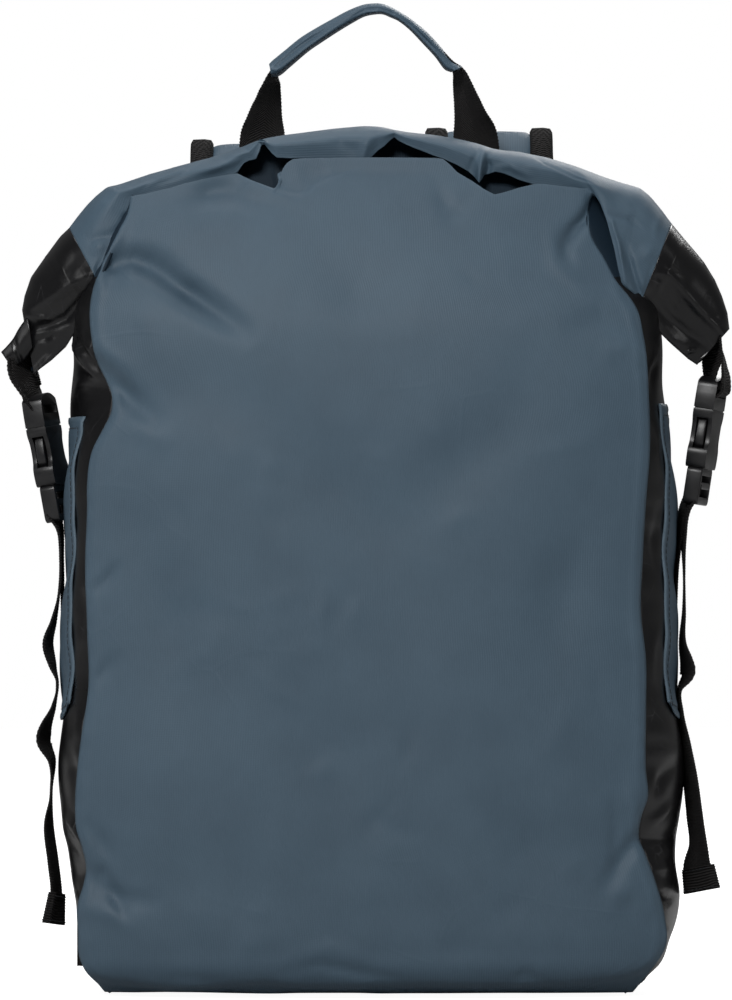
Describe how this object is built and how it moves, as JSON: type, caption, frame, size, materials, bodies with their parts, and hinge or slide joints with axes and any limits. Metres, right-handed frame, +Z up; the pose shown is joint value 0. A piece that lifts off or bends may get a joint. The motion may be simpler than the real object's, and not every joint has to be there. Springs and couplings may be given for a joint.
{
  "type": "rolltop backpack",
  "caption": "Stuffed rolltop backpack in coated fabric with glossy side panels, a rolled collar pulled down by side buckles, a carrying handle and padded shoulder straps.",
  "frame": {"origin": "middle of the flat bottom", "axes": "+X to the right seen from the front, front faces -Y, +Z up"},
  "size_m": [0.3776, 0.1855, 0.5155],
  "materials": {
    "coated_fabric": "matt coated blue-grey fabric",
    "glossy_fabric": "glossy black coated fabric",
    "webbing": "ribbed black webbing",
    "buckle_plastic": "satin black moulded plastic"
  },
  "bodies": {
    "root": {"front_panel": "coated_fabric", "back_panel": "coated_fabric", "base_panel": "coated_fabric", "roll_middle": "coated_fabric", "side_patch_left": "coated_fabric", "side_patch_right": "coated_fabric", "handle_sleeve": "coated_fabric", "shoulder_strap_left": "coated_fabric", "shoulder_strap_right": "coated_fabric", "side_panel_left": "glossy_fabric", "side_panel_right": "glossy_fabric", "roll_end_left": "glossy_fabric", "roll_end_right": "glossy_fabric", "handle_webbing": "webbing", "roll_webbing_left": "webbing", "roll_webbing_right": "webbing", "anchor_strap_left": "webbing", "anchor_strap_right": "webbing", "tail_strap_left": "webbing", "tail_strap_right": "webbing", "strap_binding_left": "webbing", "strap_binding_right": "webbing", "strap_tab_left": "webbing", "strap_tab_right": "webbing", "lower_webbing_left": "webbing", "lower_webbing_right": "webbing", "lower_anchor_left": "webbing", "lower_anchor_right": "webbing", "buckle_socket_left": "buckle_plastic", "buckle_socket_right": "buckle_plastic", "buckle_plug_left": "buckle_plastic", "buckle_plug_right": "buckle_plastic", "ladder_lock_left": "buckle_plastic", "ladder_lock_right": "buckle_plastic"}
  },
  "joints": []
}
